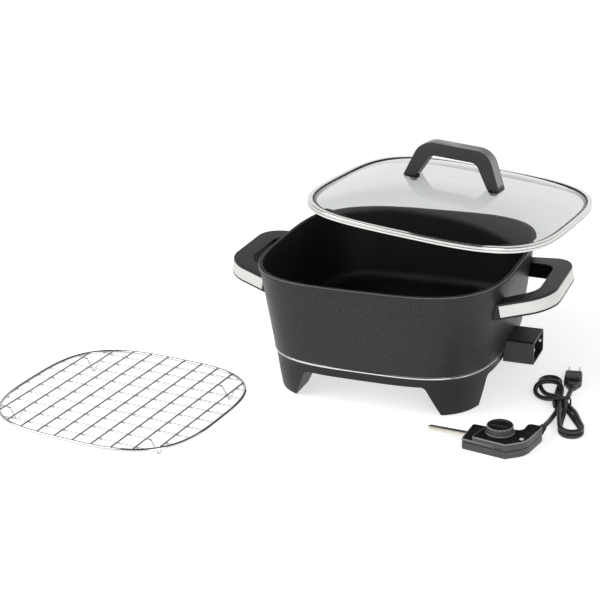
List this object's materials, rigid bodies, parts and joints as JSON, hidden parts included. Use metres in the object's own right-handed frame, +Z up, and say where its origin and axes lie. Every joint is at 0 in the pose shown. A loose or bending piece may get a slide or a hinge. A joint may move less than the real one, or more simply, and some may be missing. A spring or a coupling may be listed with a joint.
{
  "type": "electric skillet",
  "caption": "Deep square cast pan on a footed base with side handles, domed glass lid, wire roasting rack and plug-in heat control with cord.",
  "frame": {"origin": "on the worktop, under the middle of the pan", "axes": "+Z up, +X from the middle of the pan to the control socket and right handle, +Y to the back"},
  "size_m": [0.6592, 0.5716, 0.2694],
  "materials": {
    "nonstick_cast": "dark non-stick coat, satin",
    "bare_aluminium": "as cast",
    "element_sheath": "dull heat-darkened steel",
    "nickel": "bright nickel plate",
    "ceramic": "matte",
    "phenolic": "satin black",
    "steel": "zinc plated",
    "bright_trim": "polished",
    "brushed_inlay": "brushed",
    "tempered_glass": "clear",
    "silicone": "matte",
    "chrome_wire": "polished",
    "brass": "bright",
    "amber_glass": "clear neon lamp",
    "clear_plastic": "gloss",
    "cord_rubber": "matte black",
    "black_plastic": "satin"
  },
  "bodies": {
    "cooker": {"pan": "nonstick_cast", "heating_element": "element_sheath", "terminal_pins": "nickel", "terminal_insulators": "ceramic", "probe_well": "bare_aluminium", "base_skirt": "phenolic", "base_legs": "phenolic", "skirt_screws": "steel", "trim_ring": "bright_trim", "socket_guard": "phenolic", "guard_screws": "steel", "handle_left": "phenolic", "handle_right": "phenolic", "inlay_left": "brushed_inlay", "inlay_right": "brushed_inlay", "handle_brackets": "steel", "handle_screws": "steel"},
    "lid": {"lid_glass": "tempered_glass", "lid_rim": "bright_trim", "lid_handle": "phenolic", "lid_handle_inlay": "brushed_inlay", "lid_gaskets": "silicone", "lid_washers": "steel", "lid_screws": "steel"},
    "rack": {"rack_rim": "chrome_wire", "rack_long_wires": "chrome_wire", "rack_cross_wires": "chrome_wire", "rack_leg_wires": "chrome_wire"},
    "control": {"control_base": "phenolic", "control_cover": "phenolic", "housing_screws": "steel", "probe_rod": "nickel", "contact_sockets": "brass", "thermostat_frame": "steel", "contact_leaf": "brass", "ceramic_spacers": "ceramic", "indicator_lamp": "amber_glass", "indicator_lens": "clear_plastic", "strain_relief": "cord_rubber", "cord_lead": "cord_rubber", "cord_hank": "cord_rubber", "cord_tie": "black_plastic", "cord_tail": "cord_rubber", "plug_body": "cord_rubber", "plug_blades": "brass"},
    "dial": {"temperature_dial": "phenolic", "dial_shaft": "steel"}
  },
  "joints": [
    {"name": "lid_swing", "type": "hinge", "parent": "cooker", "child": "lid", "pos_m": [0.5755, -0.125, -0.198], "axis": [-0.3049, 0.6259, -0.7178], "range_deg": [-7.4, 4]},
    {"name": "rack_lift", "type": "slide", "parent": "cooker", "child": "rack", "axis": [0, 0, 1], "range_m": [0, 0.12]},
    {"name": "control_lift", "type": "slide", "parent": "cooker", "child": "control", "axis": [0, 0, 1], "range_m": [0, 0.09]},
    {"name": "dial_turn", "type": "hinge", "parent": "control", "child": "dial", "pos_m": [0.174, -0.173, 0.009], "axis": [0, 0, 1], "range_deg": [-280, 0]}
  ]
}
